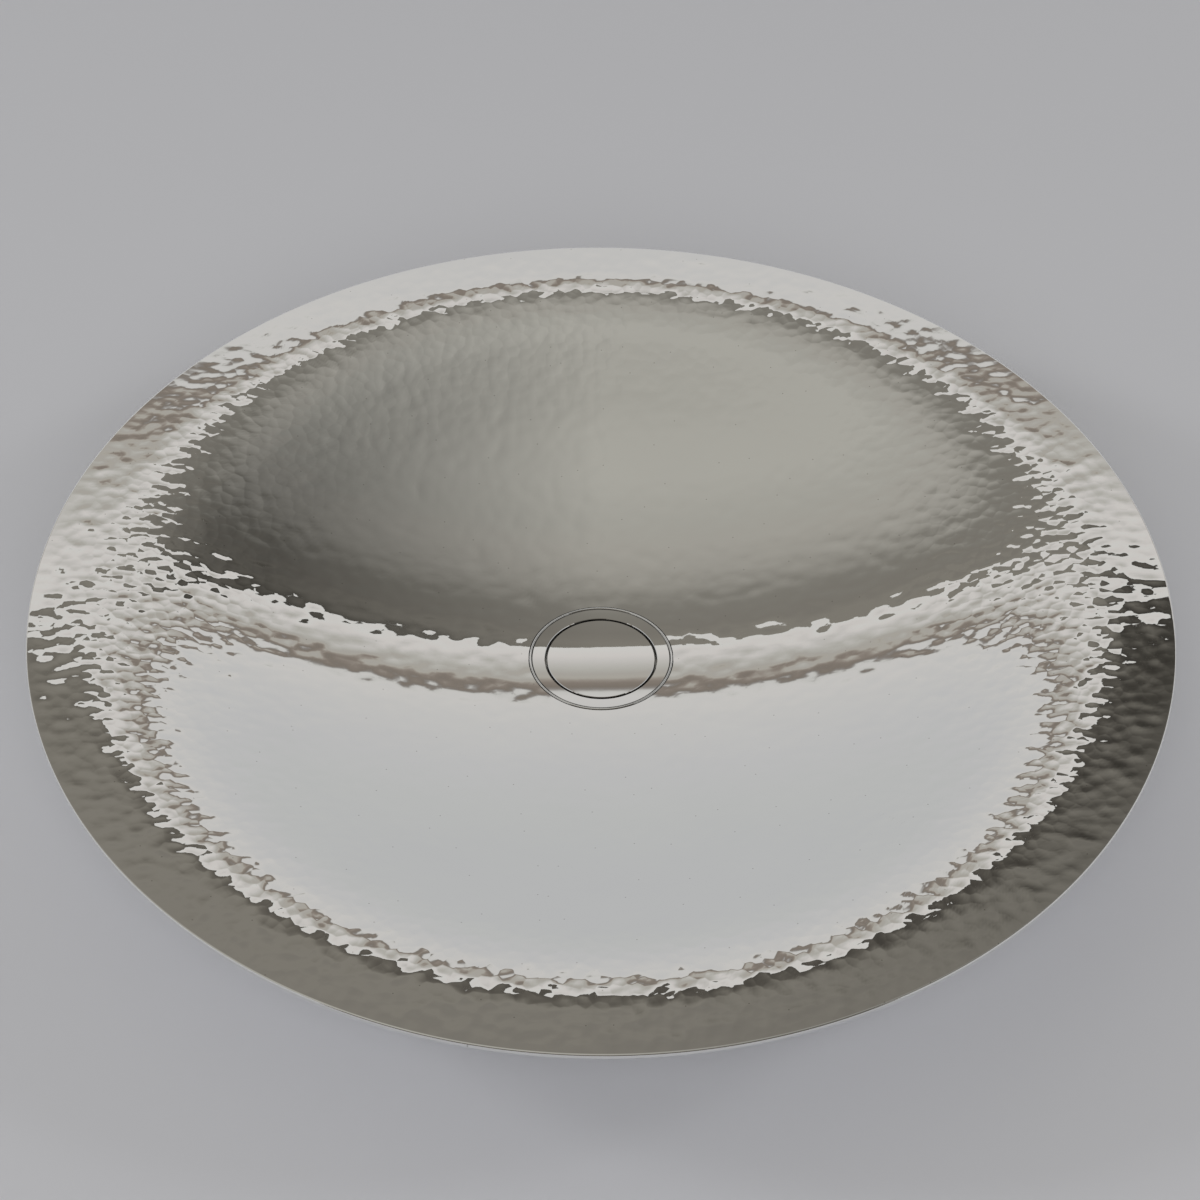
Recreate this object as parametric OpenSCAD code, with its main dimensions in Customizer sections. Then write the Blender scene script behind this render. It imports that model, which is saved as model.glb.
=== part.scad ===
// Footed paten plate: a planished silver dish with a shallow round well and a
// broad rim, a low spun foot under it, and a polished boss let into its centre
// whose stud and nut hold the foot on. The origin is the centre of the foot's
// flat underside, with +Z up. Millimetres.

/* [Dish] */
// Diameter over the rim
dish_d = 250; // [220:5:300]
// Height of the rim's edge above the table
rim_h = 38; // [37:0.5:46]
// Thickness of the silver sheet
sheet_t = 1.2; // [0.9:0.1:1.5]
// Steepest slope of the well's wall, in degrees
wall_slope = 18.5; // [17:0.5:20]
// Rise of the rim towards its edge, in degrees
rim_rise = 2.5; // [1.5:0.5:5]
// Rounding of the rim's cut edge
edge_r = 0.3; // [0.2:0.05:0.4]

/* [Boss] */
// Diameter of the seat's face, which shows as the boss's outer ring
seat_d = 32.6; // [30:0.2:34]
// Diameter of the cap inside it
cap_d = 24.3; // [22:0.1:25]
// Gap between the cap and the seat, all round
cap_gap = 0.5; // [0.3:0.05:0.6]
// Diameter of the seat's shoulder, under the dish
shoulder_d = 38; // [36:0.5:42]
// Diameter of the fixing stud
stud_d = 4; // [3:0.5:5]

/* [Foot] */
// Diameter of the foot at its waist, under the dish
foot_waist_d = 84; // [76:2:92]
// Radius of the hollow curve of the foot's wall, as a multiple of the wall's height
foot_cove = 1.5; // [1.3:0.1:1.8]
// Thickness of the foot's metal
foot_t = 1.2; // [1:0.1:1.4]
// Height of the wire round the foot's base
wire_h = 2.4; // [2:0.1:3]
// Width of that wire
wire_w = 4.8; // [4.4:0.1:5.5]

/* [Hidden] */
$fn = 180;
well_fn = 1440;

silver = [0.86, 0.85, 0.83];
bright_silver = [0.92, 0.91, 0.9];
plain_silver = [0.78, 0.77, 0.75];
brass = [0.78, 0.62, 0.32];

// The dish's upper surface in section, from its centre out: a round well, a
// straight wall, a flare that eases over towards the level, and a straight rim.
dish_r = dish_d / 2;
well_share = 0.62;
wall_share = 0.725;
flare_share = 0.7;
well_steps = 24;
flare_steps = 16;
edge_steps = 4;
well_end_r = well_share * dish_r;
wall_end_r = wall_share * dish_r;
well_r = well_end_r / sin(wall_slope);
flare_r = flare_share * dish_r;
edge_flat = sheet_t - 2 * edge_r;
edge_centre = [dish_r - edge_r - edge_flat * sin(rim_rise), rim_h - edge_r];
edge_foot_centre = edge_centre + edge_flat * [sin(rim_rise), -cos(rim_rise)];
flare_centre_x = wall_end_r + flare_r * sin(wall_slope);
rim_run = edge_centre.x - flare_centre_x + (flare_r - edge_r) * sin(rim_rise);
flare_end_z = edge_centre.y + edge_r * cos(rim_rise) - rim_run * tan(rim_rise);
flare_centre = [flare_centre_x, flare_end_z - flare_r * cos(rim_rise)];
wall_rise = (wall_end_r - well_end_r) * tan(wall_slope);
well_end_z = flare_centre.y + flare_r * cos(wall_slope) - wall_rise;
well_z = well_end_z - well_r * (1 - cos(wall_slope));
well_centre = [0, well_z + well_r];

// The boss's seat is let into the dish from below: its face is flush with the well,
// its shoulder bears on the dish's underside, and the cap lies in its recess. The
// faces of seat and cap are dished a little deeper than the well.
seat_r = seat_d / 2;
shoulder_r = shoulder_d / 2;
recess_r = cap_d / 2 + cap_gap;
hole_clearance = 0.05;
face_share = 0.88;
face_r = face_share * well_r;
seat_rim_z = well_centre.y - sqrt(pow(well_r, 2) - pow(seat_r, 2));
face_centre = [0, seat_rim_z + sqrt(pow(face_r, 2) - pow(seat_r, 2))];
web_t = 1.2;
seat_under_dish = 1.6;
seat_base_z = well_z - sheet_t - seat_under_dish;
web_top_z = seat_base_z + web_t;
boss_headroom = 2;
bevel = 0.3;

// Fixings: the nut draws the foot's plate up against the seat.
stud_r = stud_d / 2;
stud_clearance = 0.15;
thread_clearance = 0.05;
stud_in_cap = 0.7;
plate_t = 1.5;
plate_base_z = seat_base_z - plate_t;
washer_r = 5;
washer_t = 0.8;
nut_across_flats = 7;
nut_h = 3.2;
nut_top_z = plate_base_z - washer_t;
stud_past_nut = 0.8;
stud_end_z = nut_top_z - nut_h - stud_past_nut;

// The foot's wall runs from the dish, in at the waist and out to the wire.
waist_above_well = 3.2;
waist_r = foot_waist_d / 2;
waist_z = well_z + waist_above_well;
foot_cove_r = foot_cove * (waist_z - wire_h);
foot_back_r = foot_cove_r + foot_t;
cove_centre = [waist_r + foot_cove_r, waist_z];
wall_base_r = cove_centre.x - sqrt(pow(foot_back_r, 2) - pow(waist_z - wire_h, 2));
plate_r = cove_centre.x - sqrt(pow(foot_back_r, 2) - pow(waist_z - seat_base_z, 2));
wire_lip = 0.5;
wire_r = wall_base_r - wire_lip + wire_w;
wire_edge_r = 1;

// Points of an arc, with both its ends.
function arc(centre, r, from, to, steps) =
    [for (i = [0 : steps]) let (a = from + (to - from) * i / steps) centre + r * [cos(a), sin(a)]];

module dish_section() {
    polygon(concat(
        arc(well_centre, well_r, -90, wall_slope - 90, well_steps),
        arc(flare_centre, flare_r, 90 + wall_slope, 90 + rim_rise, flare_steps),
        arc(edge_centre, edge_r, 90 + rim_rise, rim_rise, edge_steps),
        arc(edge_foot_centre, edge_r, rim_rise, rim_rise - 90, edge_steps),
        arc(flare_centre, flare_r - sheet_t, 90 + rim_rise, 90 + wall_slope, flare_steps),
        arc(well_centre, well_r + sheet_t, wall_slope - 90, -90, well_steps)));
}

module dish() {
    color(silver) difference() {
        rotate_extrude() dish_section();
        translate([0, 0, seat_base_z]) cylinder(r = seat_r + hole_clearance, h = rim_h);
    }
}

module boss_seat() {
    color(bright_silver) rotate_extrude() difference() {
        union() {
            translate([recess_r, seat_base_z])
                square([seat_r - recess_r, well_z + boss_headroom - seat_base_z]);
            translate([stud_r + stud_clearance, seat_base_z])
                square([recess_r - stud_r - stud_clearance, web_t]);
            difference() {
                translate([recess_r, seat_base_z]) square([shoulder_r - recess_r, well_z - seat_base_z]);
                translate(well_centre) circle(well_r + sheet_t, $fn = well_fn);
            }
        }
        translate(face_centre) circle(face_r, $fn = well_fn);
        translate([seat_r, seat_rim_z]) rotate(45) square(bevel, center = true);
    }
}

module boss_cap() {
    cap_r = cap_d / 2;
    cap_rim_z = face_centre.y - sqrt(pow(face_r, 2) - pow(cap_r, 2));
    color(bright_silver) rotate_extrude() difference() {
        translate([0, web_top_z]) square([cap_r, well_z + boss_headroom - web_top_z]);
        translate(face_centre) circle(face_r, $fn = well_fn);
        translate([cap_r, cap_rim_z]) rotate(45) square(bevel, center = true);
        square([stud_r, web_top_z + stud_in_cap]);
    }
}

module boss_stud() {
    color(brass) translate([0, 0, stud_end_z])
        cylinder(r = stud_r, h = web_top_z + stud_in_cap - stud_end_z);
}

// A flat ring about the stud, with height h above z.
module stud_ring(z, h, clearance) {
    translate([0, 0, z]) difference() {
        children();
        translate([0, 0, -h]) cylinder(r = stud_r + clearance, h = 3 * h);
    }
}

module foot_plate() {
    color(plain_silver) stud_ring(plate_base_z, plate_t, stud_clearance)
        cylinder(r = plate_r, h = plate_t);
}

module fixing_washer() {
    color(brass) stud_ring(nut_top_z, washer_t, stud_clearance)
        cylinder(r = washer_r, h = washer_t);
}

module fixing_nut() {
    color(brass) stud_ring(nut_top_z - nut_h, nut_h, thread_clearance)
        cylinder(d = nut_across_flats / cos(30), h = nut_h, $fn = 6);
}

// A spun collar, open above and below, whose top edge fits the dish's underside.
module foot() {
    color(plain_silver) rotate_extrude() difference() {
        intersection() {
            translate(cove_centre) circle(foot_back_r);
            translate([0, wire_h]) square([cove_centre.x, rim_h]);
        }
        translate(well_centre) circle(well_r + sheet_t, $fn = well_fn);
        translate(cove_centre) circle(foot_cove_r);
    }
}

module foot_wire() {
    color(plain_silver) rotate_extrude() difference() {
        translate([wire_r - wire_w, 0]) square([wire_w, wire_h]);
        translate([wire_r - wire_edge_r, wire_h - wire_edge_r]) difference() {
            square(2 * wire_edge_r);
            circle(wire_edge_r);
        }
        translate([wire_r, 0]) rotate(45) square(2 * bevel, center = true);
    }
}

dish();
boss_seat();
boss_cap();
boss_stud();
foot_plate();
fixing_washer();
fixing_nut();
foot();
foot_wire();
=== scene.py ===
"""A footed paten plate in planished silver: the looks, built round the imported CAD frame."""
import math

import bpy
import numpy as np
from mathutils import Matrix, Vector


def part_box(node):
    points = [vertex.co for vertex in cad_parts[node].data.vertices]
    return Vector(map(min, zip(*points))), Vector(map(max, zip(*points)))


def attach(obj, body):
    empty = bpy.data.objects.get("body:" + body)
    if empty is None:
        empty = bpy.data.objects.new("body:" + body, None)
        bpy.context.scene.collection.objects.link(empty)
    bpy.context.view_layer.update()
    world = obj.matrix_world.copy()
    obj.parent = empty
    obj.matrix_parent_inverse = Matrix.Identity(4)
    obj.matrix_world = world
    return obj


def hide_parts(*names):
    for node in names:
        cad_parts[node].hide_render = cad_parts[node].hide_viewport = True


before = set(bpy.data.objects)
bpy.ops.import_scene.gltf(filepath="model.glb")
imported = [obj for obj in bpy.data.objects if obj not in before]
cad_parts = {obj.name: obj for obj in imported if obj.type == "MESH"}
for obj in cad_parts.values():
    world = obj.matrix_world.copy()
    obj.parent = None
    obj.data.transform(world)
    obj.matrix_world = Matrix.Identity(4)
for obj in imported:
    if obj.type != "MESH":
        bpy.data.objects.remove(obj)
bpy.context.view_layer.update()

MM = 0.001

# ---------------------------------------------------------------------------
# Sizes, in metres, from the frame's boxes and the dish's own proportions
# ---------------------------------------------------------------------------

dish_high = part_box("dish")[1]
seat_low, seat_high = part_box("boss_seat")
cap_low, cap_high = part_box("boss_cap")
foot_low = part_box("foot")[0]
wire_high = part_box("foot_wire")[1]
plate_low, plate_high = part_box("foot_plate")
washer_low, washer_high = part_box("fixing_washer")
nut_low, nut_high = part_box("fixing_nut")
stud_low, stud_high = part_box("boss_stud")

DISH_R = dish_high.x
RIM_H = dish_high.z
SHEET_T = 1.2 * MM
WALL_SLOPE = math.radians(18.5)
RIM_RISE = math.radians(2.5)
WELL_END_R = 0.62 * DISH_R
WALL_END_R = 0.725 * DISH_R
FLARE_R = 0.7 * DISH_R
WELL_R = WELL_END_R / math.sin(WALL_SLOPE)
EDGE_R = 0.3 * MM
EDGE_FLAT = SHEET_T - 2 * EDGE_R
EDGE_X = DISH_R - EDGE_R - EDGE_FLAT * math.sin(RIM_RISE)
FLARE_X = WALL_END_R + FLARE_R * math.sin(WALL_SLOPE)
FLARE_END_R = FLARE_X - FLARE_R * math.sin(RIM_RISE)
WALL_RISE = (WALL_END_R - WELL_END_R) * math.tan(WALL_SLOPE)
FLARE_RISE = FLARE_R * (math.cos(RIM_RISE) - math.cos(WALL_SLOPE))
RIM_RUN = EDGE_X - FLARE_END_R - EDGE_R * math.sin(RIM_RISE)
RIM_TOP_Z = RIM_H - EDGE_R + EDGE_R * math.cos(RIM_RISE)
WELL_RISE = WELL_R * (1 - math.cos(WALL_SLOPE))
WELL_Z = RIM_TOP_Z - RIM_RUN * math.tan(RIM_RISE) - FLARE_RISE - WALL_RISE - WELL_RISE

SEAT_R = 16.3 * MM
SHOULDER_R = seat_high.x
CAP_R = cap_high.x
CAP_GAP = 0.5 * MM
LIP = 0.10 * MM
JOINT_W = 0.16 * MM
BEAD_W = 0.44 * MM
BEAD_H = 0.16 * MM
GROOVE_W = 0.28 * MM
BEAD_IN_R = SEAT_R - JOINT_W - BEAD_W
GROOVE_IN_R = BEAD_IN_R - GROOVE_W
RECESS_R = CAP_R + CAP_GAP
HOLE_R = SEAT_R + 0.05 * MM
FACE_R = 0.88 * WELL_R
SEAT_RIM_Z = WELL_Z + WELL_R - math.sqrt(WELL_R ** 2 - SEAT_R ** 2)
FACE_Z = SEAT_RIM_Z + math.sqrt(FACE_R ** 2 - SEAT_R ** 2)
WEB_T = 1.2 * MM
STUD_R = stud_high.x
STUD_HOLE_R = STUD_R + 0.15 * MM
NUT_BORE_R = STUD_R + 0.05 * MM
FOOT_T = 1.2 * MM
WAIST_R = 42 * MM
WAIST_Z = WELL_Z + 3.2 * MM
WIRE_W = 4.8 * MM


def dish_height(r):
    """Height of the dish's smooth upper surface at radius r."""
    r = np.asarray(r, float)
    well = WELL_Z + WELL_R - np.sqrt(WELL_R ** 2 - np.minimum(r, WELL_END_R) ** 2)
    wall = np.clip(r - WELL_END_R, 0, WALL_END_R - WELL_END_R) * math.tan(WALL_SLOPE)
    over = np.clip(r, WALL_END_R, FLARE_END_R) - FLARE_X
    start = WALL_END_R - FLARE_X
    flare = np.sqrt(FLARE_R ** 2 - over ** 2) - math.sqrt(FLARE_R ** 2 - start ** 2)
    rim = np.clip(r - FLARE_END_R, 0, None) * math.tan(RIM_RISE)
    return well + wall + flare + rim


def dish_slope(r):
    """Slope angle of the dish's upper surface at radius r, rising outwards."""
    r = np.asarray(r, float)
    well = np.arcsin(np.minimum(r, WELL_END_R) / WELL_R)
    flare = np.arcsin(np.clip((FLARE_X - r) / FLARE_R, -1, 1))
    return np.where(r < WALL_END_R, well, np.maximum(flare, RIM_RISE))


# ---------------------------------------------------------------------------
# Hands: small helpers for shaping and finishing pieces
# ---------------------------------------------------------------------------

def deselect_all():
    if bpy.context.object and bpy.context.object.mode != "OBJECT":
        bpy.ops.object.mode_set(mode="OBJECT")
    bpy.ops.object.select_all(action="DESELECT")


def take_up(piece):
    """The piece alone is selected and active."""
    deselect_all()
    piece.select_set(True)
    bpy.context.view_layer.objects.active = piece


def new_piece(name):
    """Names the primitive just added, and puts its place into its mesh."""
    piece = bpy.context.object
    piece.name = name
    piece.data.name = name
    bpy.ops.object.transform_apply(location=True, rotation=True, scale=True)
    return piece


def points_of(piece):
    """The piece's points as an array of rows x, y, z."""
    flat = np.zeros(len(piece.data.vertices) * 3, np.float32)
    piece.data.vertices.foreach_get("co", flat)
    return flat.reshape(-1, 3).astype(float)


def put_points(piece, points):
    piece.data.vertices.foreach_set("co", points.astype(np.float32).ravel())
    piece.data.update()


def pick_points(piece, chosen):
    """In edit mode, exactly the chosen points are selected."""
    take_up(piece)
    bpy.ops.object.mode_set(mode="EDIT")
    bpy.ops.mesh.select_mode(type="VERT")
    bpy.ops.mesh.select_all(action="DESELECT")
    bpy.ops.object.mode_set(mode="OBJECT")
    piece.data.vertices.foreach_set("select", np.asarray(chosen, bool))
    bpy.ops.object.mode_set(mode="EDIT")


def smooth(piece, angle):
    """Smooth shading, with edges sharper than the angle left crisp."""
    take_up(piece)
    bpy.ops.object.shade_smooth_by_angle(angle=math.radians(angle))


def turned(name, outline, steps, crisp=35):
    """A piece turned about the axis from a closed outline of (radius, height) points, drawn
    anticlockwise. A ring of wire takes the outline's shape and is spun full circle."""
    deselect_all()
    bpy.ops.mesh.primitive_circle_add(vertices=len(outline), radius=0.01, fill_type="NOTHING")
    piece = new_piece(name)
    put_points(piece, np.array([(r, 0, z) for r, z in outline]))
    bpy.ops.object.mode_set(mode="EDIT")
    bpy.ops.mesh.select_all(action="SELECT")
    bpy.ops.mesh.spin(steps=steps, angle=math.tau, center=(0, 0, 0), axis=(0, 0, 1))
    bpy.ops.mesh.select_all(action="SELECT")
    bpy.ops.mesh.remove_doubles(threshold=0.002 * MM)
    bpy.ops.mesh.normals_make_consistent(inside=False)
    smooth(piece, crisp)
    return piece


def arc(centre, radius, start, end, steps):
    """Points (radius, height) on an arc of the section, angles in degrees from outwards."""
    angles = np.radians(np.linspace(start, end, steps + 1))
    return [(centre[0] + radius * math.cos(a), centre[1] + radius * math.sin(a)) for a in angles]


# ---------------------------------------------------------------------------
# The dish: a round blank, raised to its section and planished all over
# ---------------------------------------------------------------------------

def course_radii(courses, hole_courses):
    """Radius of each ring of points: close together over the flare, where the marks are smallest.
    The last ring but one lies right beside the edge, which keeps its rounding crisp."""
    outward = np.linspace(HOLE_R, DISH_R - EDGE_R, 2000)
    flare_middle = 103 * MM
    flare_half = 17 * MM
    closeness = 1 + 0.5 * np.exp(-((outward - flare_middle) / flare_half) ** 2)
    run = np.concatenate([[0], np.cumsum((closeness[1:] + closeness[:-1]) / 2)])
    share = np.linspace(0, 1, courses - hole_courses + 1)
    beyond = np.interp(share, run / run[-1], outward)
    inside = HOLE_R * np.arange(hole_courses) / hole_courses
    radii = np.concatenate([inside, beyond])
    beside_edge = 0.15 * MM
    radii[-2] = radii[-1] - beside_edge
    return radii


def cut_blank(name, courses, hole_courses):
    """A flat round blank with a round hole: a square grid whose square rings become circles."""
    deselect_all()
    bpy.ops.mesh.primitive_grid_add(x_subdivisions=2 * courses, y_subdivisions=2 * courses, size=2)
    blank = new_piece(name)
    grid = points_of(blank)
    a, b = grid[:, 0], grid[:, 1]
    wide = np.abs(a) > np.abs(b)
    main = np.where(wide, a, b)
    other = np.where(wide, b, a)
    lean = math.pi / 4 * other / np.where(main == 0, 1, main)
    angle = np.where(wide, lean, math.pi / 2 - lean) + np.where(main < 0, math.pi, 0)
    ring = np.rint(np.abs(main) * courses).astype(int)
    r = course_radii(courses, hole_courses)[ring]
    put_points(blank, np.c_[r * np.cos(angle), r * np.sin(angle), np.zeros(len(r))])
    pick_points(blank, ring < hole_courses)
    bpy.ops.mesh.delete(type="VERT")
    bpy.ops.object.mode_set(mode="OBJECT")
    return blank


def hammer_marks(x, y, seed, mark_size, face_slope, tilt):
    """Depth of the planished surface at points x, y: overlapping shallow dished marks, laid in
    rings from the centre out. mark_size, face_slope and tilt are functions of the radius: the
    spacing of the marks, the slope at a mark's edge, and how far a mark may lie askew."""
    first_ring, past_edge = 6 * MM, 12 * MM
    ring_step, wander, unevenness, blend = 0.87, 0.26, 0.10, 0.10
    draw = np.random.default_rng(seed)
    rings, r = [], first_ring
    while r < DISH_R + past_edge:
        rings.append(r)
        r += ring_step * float(mark_size(r))
    rings = np.array(rings)
    counts = np.array([max(6, int(round(math.tau * r / float(mark_size(r))))) for r in rings])
    starts = np.concatenate([[0], np.cumsum(counts)])
    ring_of = np.repeat(np.arange(len(rings)), counts)
    size = mark_size(rings[ring_of])
    total = starts[-1]
    ring_start = draw.uniform(0, 1, len(rings))[ring_of]
    place = (np.arange(total) - starts[ring_of] + ring_start) / counts[ring_of]
    radius = rings[ring_of] + draw.normal(0, wander, total) * size
    angle = place * math.tau + draw.normal(0, wander, total) * size / rings[ring_of]
    blow_x, blow_y = radius * np.cos(angle), radius * np.sin(angle)
    reach = size / 2
    curve = face_slope(rings[ring_of]) / reach * draw.uniform(0.7, 1.3, total)
    sink = draw.normal(0, unevenness, total) * curve * reach ** 2
    lean_x = draw.normal(0, 1, total) * tilt(rings[ring_of])
    lean_y = draw.normal(0, 1, total) * tilt(rings[ring_of])

    at_r = np.hypot(x, y)
    at_angle = np.mod(np.arctan2(y, x), math.tau)
    nearest = np.clip(np.searchsorted(rings, at_r) - 1, 0, len(rings) - 1)
    soft = (curve * reach ** 2).mean() * blend
    levels = []
    for rings_out in (-1, 0, 1, 2):
        k = np.clip(nearest + rings_out, 0, len(rings) - 1)
        count = counts[k]
        offset = at_angle / math.tau * count
        base = np.floor(offset).astype(int)
        for side in (-2, -1, 0, 1, 2):
            j = starts[k] + np.mod(base + side, count)
            dx, dy = x - blow_x[j], y - blow_y[j]
            dished = curve[j] * (dx ** 2 + dy ** 2) / 2
            levels.append(dished + lean_x[j] * dx + lean_y[j] * dy + sink[j])
    levels = np.array(levels)
    deepest = levels.min(0)
    total_weight = np.exp(-(levels - deepest) / soft).sum(0)
    return deepest - soft * np.log(total_weight)


def planish(x, y, seed):
    """The hammer's work on the dish: soft marks in the well, small crisp ones on the flare,
    flatter ones on the rim. No mark stands above the smooth surface."""
    def by_radius(well, flare, rim):
        well_end, flare_start, flare_end, rim_start = 60 * MM, 84 * MM, 104 * MM, 116 * MM
        stops = [0, well_end, flare_start, flare_end, rim_start, DISH_R]
        values = [well, well, flare, flare, rim, rim]
        return lambda r: np.interp(r, stops, values)

    mark_size = by_radius(3.2 * MM, 2.7 * MM, 3.0 * MM)
    face_slope = by_radius(0.012, 0.031, 0.019)
    tilt = by_radius(0.004, 0.010, 0.006)
    marks = hammer_marks(x, y, seed, mark_size, face_slope, tilt)
    r = np.hypot(x, y)
    plain_edge, fade_w, sunk = 0.8 * MM, 1.2 * MM, 0.06 * MM
    level = marks[r > 0.97 * DISH_R].mean()
    fade = np.clip((DISH_R - plain_edge - r) / fade_w, 0, 1)
    return np.minimum(level + (marks - level) * fade - sunk, 0)


def make_dish():
    """The raised dish: two blanks, one shaped to its upper face and one to its underside, joined
    through the rounded rim and round the hole for the boss."""
    courses, hole_courses = 132, 14
    dish = cut_blank("planished_dish", courses, hole_courses)
    top = points_of(dish)
    r = np.hypot(top[:, 0], top[:, 1])
    top[:, 2] = dish_height(r) + planish(top[:, 0], top[:, 1], seed=11)
    put_points(dish, top)

    under = cut_blank("dish_underside", courses // 2, hole_courses // 2)
    low = points_of(under)
    r = np.hypot(low[:, 0], low[:, 1])
    slope = dish_slope(r)
    inward = (r + SHEET_T * np.sin(slope)) / np.maximum(r, 1e-9)
    low[:, 0] *= inward
    low[:, 1] *= inward
    back_size, back_slope, back_tilt = 6 * MM, 0.02, 0.005
    back = hammer_marks(low[:, 0], low[:, 1], 12, lambda r: back_size + 0 * r,
                        lambda r: back_slope + 0 * r, lambda r: back_tilt + 0 * r)
    low[:, 2] = dish_height(r) - SHEET_T * np.cos(slope) - back
    put_points(under, low)
    take_up(under)
    bpy.ops.object.mode_set(mode="EDIT")
    bpy.ops.mesh.select_all(action="SELECT")
    bpy.ops.mesh.flip_normals()
    bpy.ops.object.mode_set(mode="OBJECT")

    take_up(dish)
    under.select_set(True)
    bpy.ops.object.join()
    bpy.ops.object.mode_set(mode="EDIT")
    bpy.ops.mesh.select_mode(type="EDGE")
    bpy.ops.mesh.select_all(action="DESELECT")
    bpy.ops.mesh.select_non_manifold(extend=False)
    bpy.ops.object.mode_set(mode="OBJECT")
    points = points_of(dish)
    outer = np.hypot(points[:, 0], points[:, 1]) > DISH_R / 2
    ends = np.zeros(len(dish.data.edges) * 2, int)
    dish.data.edges.foreach_get("vertices", ends)
    ends = ends.reshape(-1, 2)
    open_edge = np.zeros(len(dish.data.edges), bool)
    dish.data.edges.foreach_get("select", open_edge)

    # The cut edge: the top's outer ring goes out over a small rounding, straight down, and
    # in under the other rounding to the underside.
    middle = DISH_R - EDGE_R, float(dish_height(DISH_R - EDGE_R)) - EDGE_R
    top_side = points[:, 2] > middle[1]
    rim_top = open_edge & outer[ends].all(1) & top_side[ends].all(1)
    rim_under = open_edge & outer[ends].all(1) & ~rim_top
    mouth = open_edge & ~outer[ends].all(1)
    bpy.ops.object.mode_set(mode="EDIT")
    bpy.ops.mesh.select_mode(type="EDGE")

    def pick_edges(chosen):
        bpy.ops.mesh.select_all(action="DESELECT")
        bpy.ops.object.mode_set(mode="OBJECT")
        padded = np.zeros(len(dish.data.edges), bool)
        padded[:len(chosen)] = chosen
        dish.data.edges.foreach_set("select", padded)
        bpy.ops.object.mode_set(mode="EDIT")
        bpy.ops.mesh.select_mode(type="EDGE")

    pick_edges(mouth)
    bpy.ops.mesh.bridge_edge_loops()
    pick_edges(rim_top)
    edge = [(middle[0] + EDGE_R * math.cos(math.radians(turn)),
             EDGE_R * math.sin(math.radians(turn)) - drop)
            for turn, drop in ((90, 0), (60, 0), (30, 0), (0, 0), (0, EDGE_FLAT), (-45, EDGE_FLAT))]
    for old, new in zip(edge, edge[1:]):
        bpy.ops.mesh.extrude_region_move(TRANSFORM_OT_translate={"value": (0, 0, new[1] - old[1])})
        grow = new[0] / old[0]
        bpy.ops.transform.resize(value=(grow, grow, 1), center_override=(0, 0, 0))
    bpy.ops.object.mode_set(mode="OBJECT")
    last = np.zeros(len(dish.data.edges), bool)
    dish.data.edges.foreach_get("select", last)
    chosen = last.copy()
    chosen[:len(rim_under)] |= rim_under
    bpy.ops.object.mode_set(mode="EDIT")
    pick_edges(chosen)
    bpy.ops.mesh.bridge_edge_loops()
    bpy.ops.mesh.select_all(action="SELECT")
    bpy.ops.mesh.normals_make_consistent(inside=False)
    smooth(dish, 50)
    return dish


# ---------------------------------------------------------------------------
# The boss, the foot and the fixings
# ---------------------------------------------------------------------------

def bowl_arc(centre_z, radius, inner, outer, steps):
    """Points on the lower side of a ball about the axis, from radius inner to outer."""
    radii = np.linspace(inner, outer, steps + 1)
    return [(r, centre_z - math.sqrt(radius ** 2 - r ** 2)) for r in radii]


def darken(piece, material, low_r, high_r, below):
    """The faces between two radii that lie under a height take a second material."""
    piece.data.materials.append(material)
    for face in piece.data.polygons:
        x, y, z = face.center
        if low_r < math.hypot(x, y) < high_r and z < below:
            face.material_index = 1


def make_seat():
    """A shallow cup: its face shows as the outer ring, edged by a bead with a fine groove
    inside it."""
    base, groove_deep, joint_deep = seat_low.z, 0.2 * MM, 0.3 * MM
    face = bowl_arc(FACE_Z, FACE_R, RECESS_R + LIP, GROOVE_IN_R, 8)
    face_z = face[-1][1]
    bead_middle = BEAD_IN_R + BEAD_W / 2
    bead = [(bead_middle + BEAD_W / 2 * math.cos(t), face_z + BEAD_H * math.sin(t))
            for t in np.linspace(math.pi, 0, 11)]
    shoulder = bowl_arc(WELL_Z + WELL_R, WELL_R + SHEET_T, SEAT_R, SHOULDER_R, 3)
    outline = [(STUD_HOLE_R, base), (SHOULDER_R, base)] + shoulder[::-1]
    outline += [(SEAT_R, face_z - joint_deep)] + bead[::-1]
    outline += [(GROOVE_IN_R + GROOVE_W / 2, face_z - groove_deep)] + face[::-1]
    outline += [(RECESS_R, face[0][1] - LIP), (RECESS_R, base + WEB_T), (STUD_HOLE_R, base + WEB_T)]
    return turned("boss_ring", outline, 256, 25)


def make_cap():
    """The disc inside the ring, with its edge just broken."""
    base = cap_low.z
    top = bowl_arc(FACE_Z, FACE_R, 0, CAP_R - LIP, 24)
    outline = [(0, base), (CAP_R - LIP, base), (CAP_R, base + LIP), (CAP_R, top[-1][1] - LIP)]
    outline += top[::-1]
    return turned("boss_disc", outline, 256, 25)


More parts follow.
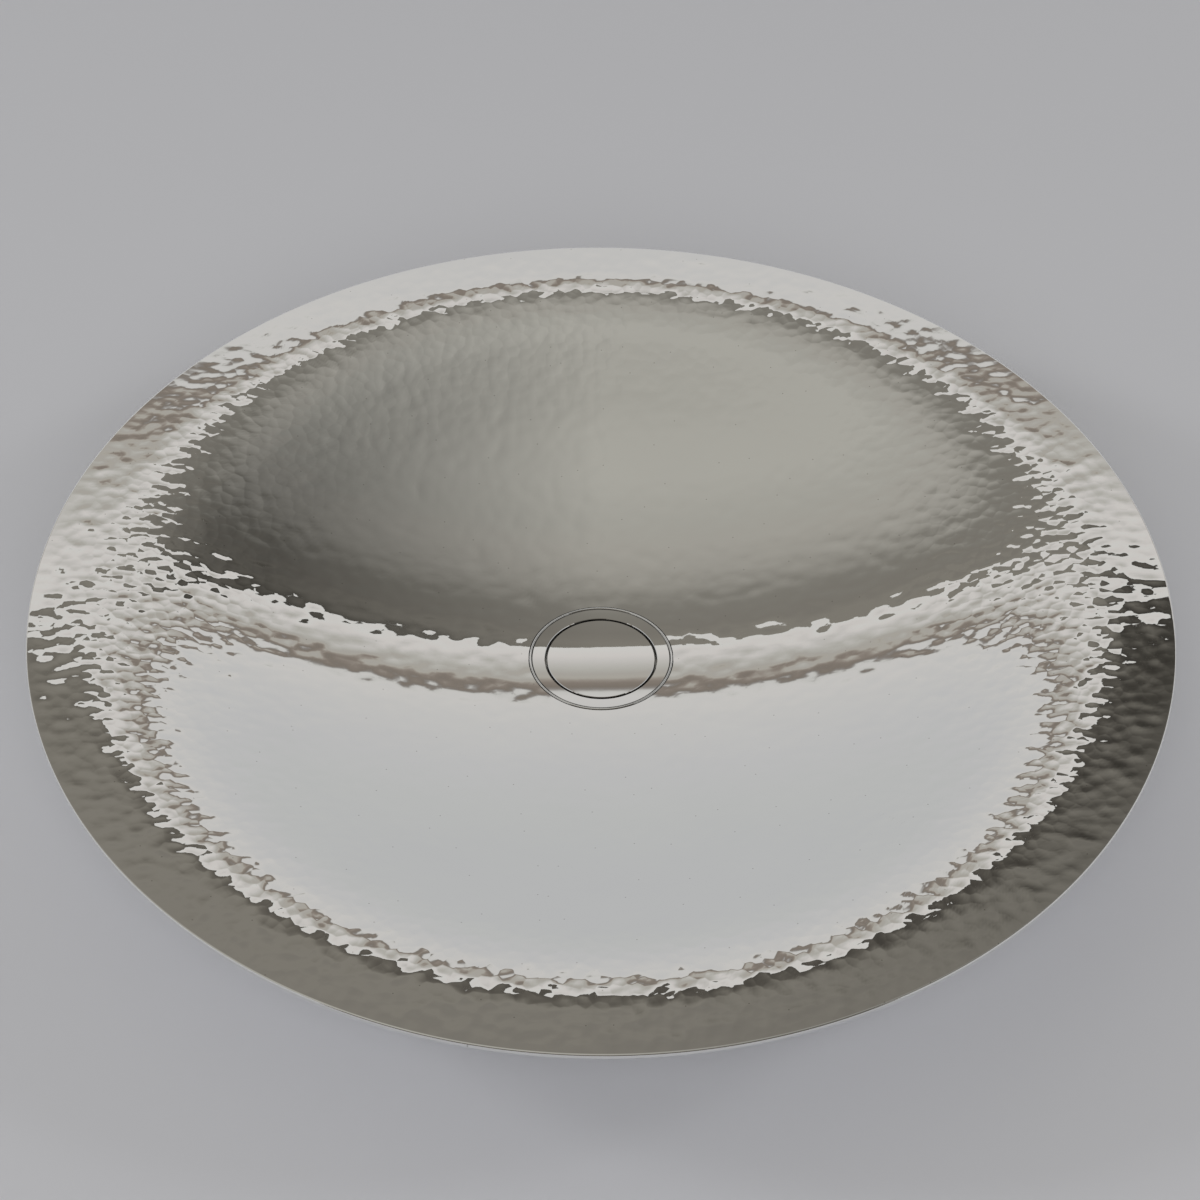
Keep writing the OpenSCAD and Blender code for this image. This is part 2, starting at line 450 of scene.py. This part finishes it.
def make_foot():
    """A spun collar, in at the waist and out to the wire, fitted to the dish's underside."""
    cove = 1.5
    cove_r = cove * (WAIST_Z - foot_low.z)
    back_r = cove_r + FOOT_T
    centre = WAIST_R + cove_r, WAIST_Z

    def meets_dish(radius):
        """Angle at which an arc of the wall comes to the dish's underside."""
        angles = np.radians(np.linspace(175, 195, 4001))
        r, z = centre[0] + radius * np.cos(angles), centre[1] + radius * np.sin(angles)
        gap = WELL_Z + WELL_R - np.sqrt((WELL_R + SHEET_T) ** 2 - r ** 2) - z
        return math.degrees(angles[np.argmin(np.abs(gap))])

    def meets_wire(radius):
        """Angle at which that arc comes down to the top of the wire."""
        return 180 + math.degrees(math.asin((WAIST_Z - foot_low.z) / radius))

    wall_out = arc(centre, cove_r, meets_dish(cove_r), meets_wire(cove_r), 20)
    wall_in = arc(centre, back_r, meets_wire(back_r), meets_dish(back_r), 20)
    return turned("spun_foot", (wall_out + wall_in)[::-1], 256)


def make_foot_plate():
    """The disc across the inside of the foot."""
    edge = 0.15 * MM
    r, low, high = plate_high.x, plate_low.z, plate_high.z
    outline = [(STUD_HOLE_R, low), (r - edge, low), (r, low + edge), (r, high), (STUD_HOLE_R, high)]
    return turned("foot_disc", outline, 256)


def make_foot_wire():
    """The ring the dish stands on, with its outer shoulder well rounded."""
    inner = wire_high.x - WIRE_W
    outer, height = wire_high.x, wire_high.z
    big, small = 1.0 * MM, 0.35 * MM
    outline = [(inner + small, 0), (outer - small, 0)]
    outline += arc((outer - small, small), small, -90, 0, 4)[1:]
    outline += arc((outer - big, height - big), big, 0, 90, 8)
    outline += arc((inner + small, height - small), small, 90, 180, 4)
    outline += arc((inner + small, small), small, 180, 270, 4)[:-1]
    return turned("base_wire", outline, 256)


def make_stud():
    """A screwed rod, its thread cut as a row of grooves."""
    pitch, deep, point = 0.7 * MM, 0.22 * MM, 0.5 * MM
    bottom, top = stud_low.z, stud_high.z
    threads = int((top - bottom) / pitch) - 1
    outline = [(0, bottom), (STUD_R - point, bottom)]
    for turn in range(threads):
        z = bottom + (turn + 0.5) * pitch
        outline += [(STUD_R - deep, z - 0.25 * pitch)]
        outline += [(STUD_R, z + 0.15 * pitch), (STUD_R, z + 0.35 * pitch)]
    outline += [(STUD_R, top), (0, top)]
    return turned("stud", outline, 64)


def make_washer():
    """A plain washer with its edges broken."""
    r, bevel, bore = washer_high.x, 0.25 * MM, STUD_HOLE_R
    low, high = washer_low.z, washer_high.z
    outline = [(bore, low + bevel), (bore + bevel, low), (r - bevel, low), (r, low + bevel)]
    outline += [(r, high - bevel), (r - bevel, high), (bore + bevel, high), (bore, high - bevel)]
    return turned("washer", outline, 128)


def make_nut():
    """A hexagon with chamfered corners and a countersunk bore."""
    low, high, bore = nut_low.z, nut_high.z, NUT_BORE_R
    corner_r, flats_r = nut_high.x, nut_high.y
    deselect_all()
    bpy.ops.mesh.primitive_cylinder_add(vertices=6, radius=corner_r, depth=high - low,
                                        location=(0, 0, (low + high) / 2))
    nut = new_piece("nut")
    points = points_of(nut)
    corner_on_x = abs(np.abs(points[:, 0]).max() - corner_r) < 0.01 * MM
    turn = 0.0 if corner_on_x else math.radians(30)
    x = points[:, 0] * math.cos(turn) - points[:, 1] * math.sin(turn)
    y = points[:, 0] * math.sin(turn) + points[:, 1] * math.cos(turn)
    put_points(nut, np.c_[x, y, points[:, 2]])
    chamfer, countersink, past = 0.5 * MM, 0.3 * MM, MM
    face_r, lead_r = flats_r - 0.1 * MM, bore + 0.5 * MM
    cone = turned("nut_cone", [(0, low), (face_r, low), (corner_r, low + chamfer),
                               (corner_r, high - chamfer), (face_r, high), (0, high)], 96)
    hole = turned("nut_bore", [(0, low - past), (lead_r, low - past), (bore + countersink, low),
                               (bore, low + countersink), (bore, high + past), (0, high + past)], 64)
    take_up(nut)
    for tool, kind in ((cone, "INTERSECT"), (hole, "DIFFERENCE")):
        cut = nut.modifiers.new("cut", "BOOLEAN")
        cut.operation, cut.object, cut.solver = kind, tool, "EXACT"
        bpy.ops.object.modifier_apply(modifier=cut.name)
        bpy.data.objects.remove(tool)
    smooth(nut, 25)
    return nut


# ---------------------------------------------------------------------------
# Materials
# ---------------------------------------------------------------------------

def linear(colour):
    """An sRGB hex colour as the linear red, green, blue and alpha that a shader takes."""
    shares = [int(colour[i:i + 2], 16) / 255 for i in (0, 2, 4)]
    return [c / 12.92 if c <= 0.04045 else ((c + 0.055) / 1.055) ** 2.4 for c in shares] + [1.0]


def add(tree, kind, links=None, **settings):
    """Adds a node with its settings, and sets or links its inputs."""
    made = tree.nodes.new(kind)
    for name, value in settings.items():
        setattr(made, name, value)
    for name, value in (links or {}).items():
        if isinstance(value, bpy.types.NodeSocket):
            tree.links.new(value, made.inputs[name])
        else:
            made.inputs[name].default_value = value
    return made


def new_material(name):
    material = bpy.data.materials.new(name)
    material.use_nodes = True
    material.node_tree.nodes.clear()
    return material, material.node_tree


def metal(name, colour, roughness, finish):
    """Bare metal with the finish that the function adds: it returns sockets for colour, roughness
    and the surface's fine relief."""
    material, tree = new_material(name)
    where = add(tree, "ShaderNodeTexCoord").outputs["Object"]
    tint, rough, relief = finish(tree, where, colour, roughness)
    shader = add(tree, "ShaderNodeBsdfPrincipled", {
        "Base Color": tint, "Metallic": 1.0, "Roughness": rough, "Normal": relief})
    out = add(tree, "ShaderNodeOutputMaterial")
    tree.links.new(shader.outputs["BSDF"], out.inputs["Surface"])
    return material


def planished(tree, where, colour, roughness):
    """Small crisp facets of the hammer's face between the larger marks, sharpest on the flare,
    under a worn, hand-polished skin."""
    flat = add(tree, "ShaderNodeVectorMath", {0: where, 1: (1, 1, 0)}, operation="MULTIPLY")
    out_from_centre = add(tree, "ShaderNodeVectorMath", {0: flat.outputs["Vector"]}, operation="LENGTH")
    facet_w, pit_gap, cloud_w = 2.3 * MM, 11 * MM, 18 * MM
    cells = add(tree, "ShaderNodeTexVoronoi", {"Vector": flat.outputs["Vector"], "Scale": 1 / facet_w,
                                               "Smoothness": 0.3, "Randomness": 0.85},
                feature="SMOOTH_F1", voronoi_dimensions="2D")
    bowl = add(tree, "ShaderNodeMath", {0: cells.outputs["Distance"], 1: 2.0}, operation="POWER")
    share = add(tree, "ShaderNodeMath", {0: out_from_centre.outputs["Value"], 1: DISH_R},
                operation="DIVIDE")
    force = add(tree, "ShaderNodeValToRGB", {"Fac": share.outputs[0]})
    fill_ramp(force, [(0.0, "5a5a5a"), (0.55, "5a5a5a"), (0.74, "ffffff"), (0.86, "ffffff"),
                      (0.93, "909090"), (1.0, "707070")])
    bump = add(tree, "ShaderNodeBump", {"Height": bowl.outputs[0], "Strength": force.outputs["Color"],
                                        "Distance": 0.030 * MM})
    cloud = add(tree, "ShaderNodeTexNoise", {"Vector": where, "Scale": 1 / cloud_w, "Detail": 3.0})
    tint = add(tree, "ShaderNodeMix", {"Factor": cloud.outputs["Fac"], "A": linear(colour),
                                       "B": linear("f2f2f0")}, data_type="RGBA")
    rough = add(tree, "ShaderNodeMapRange", {"Value": cloud.outputs["Fac"], "To Min": roughness * 0.7,
                                             "To Max": roughness * 1.4})
    pits = add(tree, "ShaderNodeTexVoronoi", {"Vector": flat.outputs["Vector"], "Scale": 1 / pit_gap},
               feature="F1", voronoi_dimensions="2D")
    pit = add(tree, "ShaderNodeMapRange", {"Value": pits.outputs["Distance"], "From Min": 0.010,
                                           "From Max": 0.016, "To Min": 0.4, "To Max": 0.0})
    skin = add(tree, "ShaderNodeMix", {"Factor": pit.outputs["Result"], "A": tint.outputs["Result"],
                                       "B": linear("6a645a")}, data_type="RGBA")
    return skin.outputs["Result"], rough.outputs["Result"], bump.outputs["Normal"]


def mirror_polish(tree, where, colour, roughness):
    """Buffed to a mirror, with the faintest waviness."""
    wave = add(tree, "ShaderNodeTexNoise", {"Vector": where, "Scale": 1 / (4 * MM), "Detail": 2.0})
    bump = add(tree, "ShaderNodeBump", {"Height": wave.outputs["Fac"], "Distance": 0.002 * MM})
    rough = add(tree, "ShaderNodeMapRange", {"Value": wave.outputs["Fac"], "To Min": roughness * 0.7,
                                             "To Max": roughness * 1.4})
    rgb = add(tree, "ShaderNodeMix", {"Factor": wave.outputs["Fac"], "A": linear(colour),
                                      "B": linear("f2f2f0")}, data_type="RGBA")
    return rgb.outputs["Result"], rough.outputs["Result"], bump.outputs["Normal"]


def turning_lines(tree, where, width):
    """Fine rings round the axis, left by a tool on turning metal."""
    parts = add(tree, "ShaderNodeSeparateXYZ", {"Vector": where})
    flat = add(tree, "ShaderNodeVectorMath", {0: where, 1: (1, 1, 0)}, operation="MULTIPLY")
    out_from_axis = add(tree, "ShaderNodeVectorMath", {0: flat.outputs["Vector"]}, operation="LENGTH")
    track = add(tree, "ShaderNodeCombineXYZ", {"X": out_from_axis.outputs["Value"],
                                               "Y": parts.outputs["Z"]})
    return add(tree, "ShaderNodeTexNoise", {"Vector": track.outputs["Vector"], "Scale": 1 / width,
                                            "Detail": 3.0}).outputs["Fac"]


def spun(tree, where, colour, roughness):
    """Spun over a former and lightly polished: fine rings that blur what it reflects, with
    duller clouds where the tarnish is coming back out of sight under the dish."""
    lines = turning_lines(tree, where, 0.5 * MM)
    cloud = add(tree, "ShaderNodeTexNoise", {"Vector": where, "Scale": 1 / (14 * MM), "Detail": 4.0})
    tint = add(tree, "ShaderNodeMix", {"Factor": cloud.outputs["Fac"], "A": linear(colour),
                                       "B": linear("c9c3b6")}, data_type="RGBA")
    rough = add(tree, "ShaderNodeMapRange", {"Value": cloud.outputs["Fac"], "To Min": roughness * 0.6,
                                             "To Max": roughness * 1.8})
    bump = add(tree, "ShaderNodeBump", {"Height": lines, "Distance": 0.006 * MM})
    return tint.outputs["Result"], rough.outputs["Result"], bump.outputs["Normal"]


def turned_brass(tree, where, colour, roughness):
    """Turned on a lathe and left unlacquered: tool rings, and a brown bloom in patches."""
    lines = turning_lines(tree, where, 0.25 * MM)
    bloom = add(tree, "ShaderNodeTexNoise", {"Vector": where, "Scale": 1 / (2.5 * MM), "Detail": 4.0})
    tint = add(tree, "ShaderNodeMix", {"Factor": bloom.outputs["Fac"], "A": linear(colour),
                                       "B": linear("9a7440")}, data_type="RGBA")
    rough = add(tree, "ShaderNodeMapRange", {"Value": bloom.outputs["Fac"], "To Min": roughness * 0.7,
                                             "To Max": roughness * 1.5})
    bump = add(tree, "ShaderNodeBump", {"Height": lines, "Distance": 0.008 * MM})
    return tint.outputs["Result"], rough.outputs["Result"], bump.outputs["Normal"]


# ---------------------------------------------------------------------------
# Stage, light and camera
# ---------------------------------------------------------------------------

def set_world():
    """A dim ceiling, duller towards the right, and a pale surround below it. The colour depends
    on how far a direction leans from the zenith towards the nearest wall, in degrees."""
    world = bpy.data.worlds.new("ceiling")
    bpy.context.scene.world = world
    world.use_nodes = True
    tree = world.node_tree
    tree.nodes.clear()
    way = add(tree, "ShaderNodeTexCoord").outputs["Generated"]
    parts = add(tree, "ShaderNodeSeparateXYZ", {"Vector": way})
    across = add(tree, "ShaderNodeMath", {0: parts.outputs["X"]}, operation="ABSOLUTE")
    along = add(tree, "ShaderNodeMath", {0: parts.outputs["Y"]}, operation="ABSOLUTE")
    side = add(tree, "ShaderNodeMath", {0: across.outputs[0], 1: along.outputs[0]}, operation="MAXIMUM")
    lean = add(tree, "ShaderNodeMath", {0: side.outputs[0], 1: parts.outputs["Z"]}, operation="ARCTAN2")
    share = add(tree, "ShaderNodeMath", {0: lean.outputs[0], 1: math.pi}, operation="DIVIDE")
    ramp = add(tree, "ShaderNodeValToRGB", {"Fac": share.outputs[0]})
    bands = [(0, "a3a19a"), (12, "a8a69f"), (18, "aeaca5"), (23, "afada6"), (28, "a8a69f"),
             (31, "a6a39c"), (34, "9e9b94"), (36.4, "8f8c85"), (38.2, "7f7c75"), (41, "7b7770"),
             (42.5, "837f77"), (44, "7b776f"), (45.5, "66625b"), (47, "57534d"), (54, "504d47"),
             (62, "75726d"), (72, "b3b3b6"), (90, "b5b5b8"), (180, "b5b5b8")]
    fill_ramp(ramp, [(degrees / 180, colour) for degrees, colour in bands])
    high = add(tree, "ShaderNodeMapRange", {"Value": parts.outputs["X"], "From Min": 0.0,
                                            "From Max": 0.35, "To Min": 1.02, "To Max": 0.4})
    low = add(tree, "ShaderNodeMapRange", {"Value": parts.outputs["X"], "From Min": -0.02,
                                           "From Max": 0.15, "To Min": 1.04, "To Max": 0.33})
    lowness = add(tree, "ShaderNodeMapRange", {"Value": lean.outputs[0], "From Min": math.radians(42),
                                               "From Max": math.radians(45)})
    dimmer = add(tree, "ShaderNodeMix", {0: lowness.outputs[0], 2: high.outputs[0], 3: low.outputs[0]})
    beyond = add(tree, "ShaderNodeMapRange", {"Value": lean.outputs[0], "From Min": math.radians(62),
                                              "From Max": math.radians(74)})
    level = add(tree, "ShaderNodeMix", {0: beyond.outputs[0], 2: dimmer.outputs[0], 3: 1.0})
    light = add(tree, "ShaderNodeBackground", {"Color": ramp.outputs["Color"],
                                               "Strength": level.outputs[0]})
    out = add(tree, "ShaderNodeOutputWorld")
    tree.links.new(light.outputs["Background"], out.inputs["Surface"])


def fill_ramp(ramp, bands):
    """Sets a colour ramp's stops from (share, colour) pairs, in rising order."""
    stops = ramp.color_ramp.elements
    while len(stops) < len(bands):
        stops.new(0.5)
    for stop, (share, colour) in zip(stops, bands):
        stop.position = share
        stop.color = linear(colour)


def set_tent():
    """Four walls round the dish, open at the top: three of pale cloth, lit evenly, with a dull
    strip below the hem, and a dark open one in front. The hem is a little higher in the
    middle. They light the dish but cast no shadow and aren't seen directly."""
    half, height, crown, crown_w = 744 * MM, 778 * MM, 40 * MM, 190 * MM
    walls, front, askew = 4, 2, 2.1
    pale, tree = new_material("tent_cloth")
    laid_flat = add(tree, "ShaderNodeUVMap").outputs["UV"]
    share = add(tree, "ShaderNodeSeparateXYZ", {"Vector": laid_flat}).outputs["Y"]
    ramp = add(tree, "ShaderNodeValToRGB", {"Fac": share})
    bands = [(0, "b8b8bb"), (0.36, "babbbc"), (0.47, "bcbdbd"), (0.59, "bfbfc0"), (0.73, "c5c4c3"),
             (0.795, "cac8c6"), (0.812, "c4c3c0"), (0.822, "86817d"), (0.832, "7d756d"), (0.848, "857c74"),
             (0.858, "958d85"), (0.868, "aba79f"), (0.884, "a9a59f"), (0.902, "b1afa9"), (0.94, "c4c1be"),
             (0.96, "cdc9c6"), (1.0, "cfcecb")]
    fill_ramp(ramp, bands)
    glow = add(tree, "ShaderNodeEmission", {"Color": ramp.outputs["Color"], "Strength": 1.06})
    out = add(tree, "ShaderNodeOutputMaterial")
    tree.links.new(glow.outputs["Emission"], out.inputs["Surface"])
    dark, tree = new_material("open_front")
    glow = add(tree, "ShaderNodeEmission", {"Color": linear("5a544e"), "Strength": 1.0})
    out = add(tree, "ShaderNodeOutputMaterial")
    tree.links.new(glow.outputs["Emission"], out.inputs["Surface"])
    for number in range(walls):
        deselect_all()
        bpy.ops.mesh.primitive_grid_add(size=2, x_subdivisions=48, y_subdivisions=1)
        wall = bpy.context.object
        wall.name = "tent_wall_%d" % number
        turn = math.radians(90 * number + askew)
        points = points_of(wall)
        along = points[:, 0] * half
        hem = height + crown * np.exp(-(along / crown_w) ** 2)
        up = (points[:, 1] + 1) / 2 * hem
        x = along * math.cos(turn) - half * math.sin(turn)
        y = along * math.sin(turn) + half * math.cos(turn)
        put_points(wall, np.c_[x, y, up])
        wall.data.materials.append(dark if number == front else pale)
        wall.visible_camera = False
        wall.visible_shadow = False


def set_floor():
    """A sheet of pale paper, seen only from above, with a hole under the foot that lets light
    into its hollow when the dish is looked at from below."""
    under_wire = 1 * MM
    hole_r, floor_r = wire_high.x - under_wire, 1200 * MM
    deselect_all()
    bpy.ops.mesh.primitive_circle_add(vertices=128, radius=hole_r, fill_type="NOTHING")
    floor = new_piece("floor")
    bpy.ops.object.mode_set(mode="EDIT")
    bpy.ops.mesh.select_all(action="SELECT")
    bpy.ops.mesh.extrude_region_move(TRANSFORM_OT_translate={"value": (0, 0, 0)})
    grow = floor_r / hole_r
    bpy.ops.transform.resize(value=(grow, grow, 1), center_override=(0, 0, 0))
    bpy.ops.object.mode_set(mode="OBJECT")
    if floor.data.polygons[0].normal.z < 0:
        bpy.ops.object.mode_set(mode="EDIT")
        bpy.ops.mesh.select_all(action="SELECT")
        bpy.ops.mesh.flip_normals()
        bpy.ops.object.mode_set(mode="OBJECT")
    material, tree = new_material("pale_paper")
    shader = add(tree, "ShaderNodeBsdfPrincipled", {"Base Color": linear("dadbe0"), "Roughness": 0.8,
                                                    "Specular IOR Level": 0.1})
    clear = add(tree, "ShaderNodeBsdfTransparent")
    facing = add(tree, "ShaderNodeNewGeometry").outputs["Backfacing"]
    mix = add(tree, "ShaderNodeMixShader", {0: facing, 1: shader.outputs["BSDF"],
                                            2: clear.outputs["BSDF"]})
    out = add(tree, "ShaderNodeOutputMaterial")
    tree.links.new(mix.outputs["Shader"], out.inputs["Surface"])
    floor.data.materials.append(material)


def set_lamp(name, azimuth, elevation, energy, size):
    """A small soft lamp aimed at the dish from that side."""
    distance = 1.3
    a, e = math.radians(azimuth), math.radians(elevation)
    data = bpy.data.lights.new(name, "AREA")
    data.shape, data.size, data.energy = "DISK", size, energy
    lamp = bpy.data.objects.new(name, data)
    bpy.context.scene.collection.objects.link(lamp)
    place = Vector((math.sin(a) * math.cos(e), math.cos(a) * math.cos(e), math.sin(e))) * distance
    lamp.location = place
    lamp.rotation_euler = place.to_track_quat("Z", "Y").to_euler()
    lamp.visible_glossy = False


def set_camera():
    """Looks down on the dish from in front, with a slight roll, as if held by hand."""
    elevation = math.radians(43.97)
    distance = 4.7 * DISH_R
    rim_z = float(dish_height(DISH_R))
    aim = Vector((0, 0, rim_z))
    back = Vector((0, -math.cos(elevation), math.sin(elevation)))
    data = bpy.data.cameras.new("camera")
    data.sensor_width = 36
    data.lens = 80.2
    data.shift_x, data.shift_y = -0.00125, -0.0090
    camera = bpy.data.objects.new("camera", data)
    bpy.context.scene.collection.objects.link(camera)
    roll = Matrix.Rotation(math.radians(0.46), 4, "Z")
    turn = back.to_track_quat("Z", "Y").to_matrix().to_4x4() @ roll
    camera.matrix_world = Matrix.Translation(aim + back * distance) @ turn
    bpy.context.scene.camera = camera


set_camera()
set_world()
set_tent()
set_floor()
set_lamp("left_lamp", -90, 32, 1.7, 0.22)
set_lamp("right_lamp", 90, 37, 1.0, 0.22)
set_lamp("front_lamp", 180, 40, 5.0, 0.8)
bpy.context.scene.view_settings.view_transform = "Standard"

planished_silver = metal("planished_silver", "efefee", 0.016, planished)
polished_silver = metal("polished_silver", "efefee", 0.012, mirror_polish)
spun_silver = metal("spun_silver", "e6e3dc", 0.14, spun)
brass = metal("brass", "d8b26a", 0.26, turned_brass)
# Near-black metal: painted shade for the gaps round the boss, partly old tarnish.
shade_and_tarnish = metal("painted_recess_shade_and_tarnish", "1c1a18", 0.35, mirror_polish)

made = [
    (make_dish(), "dish", "planished_silver", planished_silver),
    (make_seat(), "boss_seat", "polished_silver", polished_silver),
    (make_cap(), "boss_cap", "polished_silver", polished_silver),
    (make_foot(), "foot", "spun_silver", spun_silver),
    (make_foot_plate(), "foot_plate", "spun_silver", spun_silver),
    (make_foot_wire(), "foot_wire", "polished_silver", polished_silver),
    (make_stud(), "boss_stud", "brass", brass),
    (make_washer(), "fixing_washer", "brass", brass),
    (make_nut(), "fixing_nut", "brass", brass),
]
for piece, cad_node, slot, material in made:
    piece.data.materials.clear()
    piece.data.materials.append(material)
    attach(piece, "root")
    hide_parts(cad_node)

# Painted shade, with some old tarnish where a cloth can't reach: a near-black material in the recess, the
# groove, the outer joint and the disc's edge, where shade falls between the parts.
ring, disc = made[1][0], made[2][0]
just = 0.02 * MM
darken(ring, shade_and_tarnish, 0, RECESS_R + just, SEAT_RIM_Z - 0.2 * MM)
darken(ring, shade_and_tarnish, GROOVE_IN_R, BEAD_IN_R, SEAT_RIM_Z - 1.5 * just)
darken(ring, shade_and_tarnish, SEAT_R - JOINT_W, SEAT_R + 0.2 * MM, SEAT_RIM_Z - just)
darken(disc, shade_and_tarnish, CAP_R - 0.05 * MM, SEAT_R, SEAT_RIM_Z)

bpy.context.view_layer.update()
